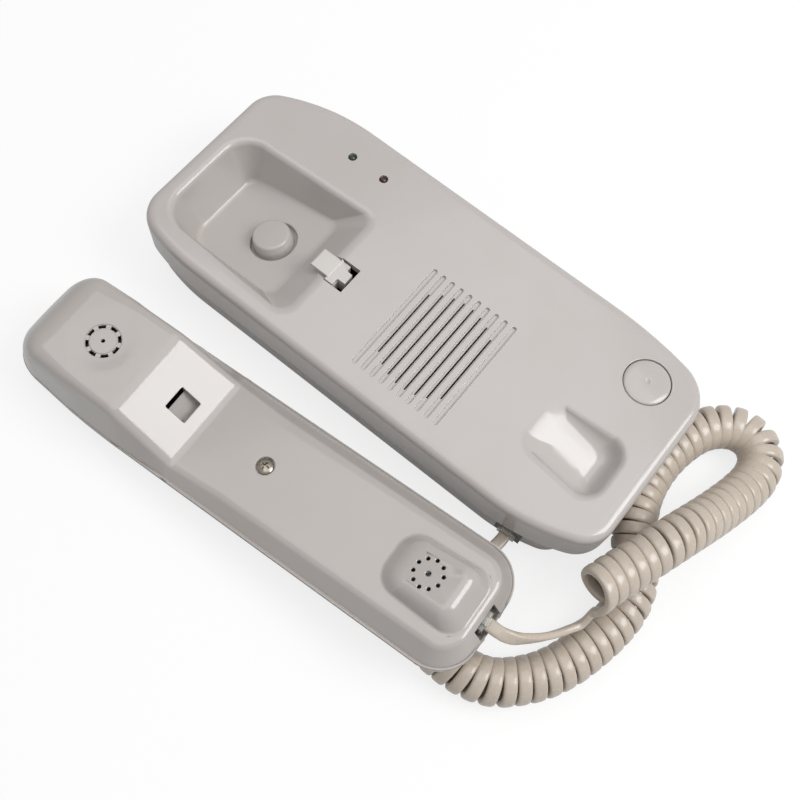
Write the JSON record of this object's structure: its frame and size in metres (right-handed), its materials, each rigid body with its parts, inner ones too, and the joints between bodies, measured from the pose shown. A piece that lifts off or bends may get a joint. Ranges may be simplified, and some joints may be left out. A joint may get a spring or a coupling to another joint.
{
  "type": "slimline wall phone",
  "caption": "Wall telephone with a slim cradle base, speaker grille, call and hook buttons, and a slender handset on a curly cord.",
  "frame": {"origin": "centre of the base unit's back, on the face that goes against the wall", "axes": "+X to the right seen from the front, +Y along the base towards the earpiece end (up on a wall), +Z out of the wall"},
  "size_m": [0.1706, 0.2667, 0.0443],
  "materials": {
    "abs_cover": "gloss",
    "abs_back": "gloss",
    "abs_handset": "gloss",
    "abs_hook": "gloss",
    "zinc_screw": "satin",
    "fibreglass": "satin",
    "component_black": "satin",
    "terminal_green": "satin",
    "speaker_metal": "satin",
    "foam_black": "matte",
    "spring_steel": "satin",
    "lamp_green": "gloss",
    "lamp_red": "gloss",
    "nylon_natural": "satin",
    "clear_plug": "gloss",
    "cord_vinyl": "satin",
    "capsule_aluminium": "satin",
    "rubber_black": "matte",
    "steel_weight": "satin"
  },
  "bodies": {
    "base": {"front_cover": "abs_cover", "back_housing": "abs_back", "cover_screws": "zinc_screw", "circuit_board": "fibreglass", "board_screws": "zinc_screw", "board_parts": "component_black", "terminal_block": "terminal_green", "terminal_screws": "zinc_screw", "speaker": "speaker_metal", "speaker_gasket": "foam_black", "speaker_clamps": "spring_steel", "speaker_screws": "zinc_screw", "green_lamp": "lamp_green", "red_lamp": "lamp_red", "lamp_spacers": "nylon_natural", "hook_button_spring": "spring_steel", "hook_switch": "component_black", "call_button_spring": "spring_steel", "call_switch": "component_black", "base_jack": "component_black", "base_plug": "clear_plug", "cord_base_lead": "cord_vinyl", "cord_coil": "cord_vinyl", "cord_handset_lead": "cord_vinyl"},
    "hook_button": {"hook_button": "abs_cover"},
    "call_button": {"call_button": "abs_cover"},
    "handset_hook": {"handset_hook": "abs_hook"},
    "handset": {"handset_front_shell": "abs_handset", "handset_back_shell": "abs_handset", "handset_screw": "zinc_screw", "handset_jack": "component_black", "handset_plug": "clear_plug", "receiver_capsule": "speaker_metal", "receiver_gasket": "foam_black", "microphone_capsule": "capsule_aluminium", "microphone_boot": "rubber_black", "handset_weight": "steel_weight"}
  },
  "joints": [
    {"name": "hook_button_press", "type": "slide", "parent": "base", "child": "hook_button", "axis": [0, -0.2233, -0.9748], "range_m": [0, 0.0035], "stiffness_N_per_m": 150, "springref_m": -0.002, "deforming": ["hook_button_spring"]},
    {"name": "call_button_press", "type": "slide", "parent": "base", "child": "call_button", "axis": [0, 0, -1], "range_m": [0, 0.0018], "stiffness_N_per_m": 400, "springref_m": -0.002, "deforming": ["call_button_spring"]},
    {"name": "handset_hook_pull", "type": "slide", "parent": "base", "child": "handset_hook", "axis": [0, 0, 1], "range_m": [0, 0.012]},
    {"name": "handset_lift", "type": "slide", "parent": "base", "child": "handset", "axis": [0, 0, 1], "range_m": [0, 0.08]}
  ]
}
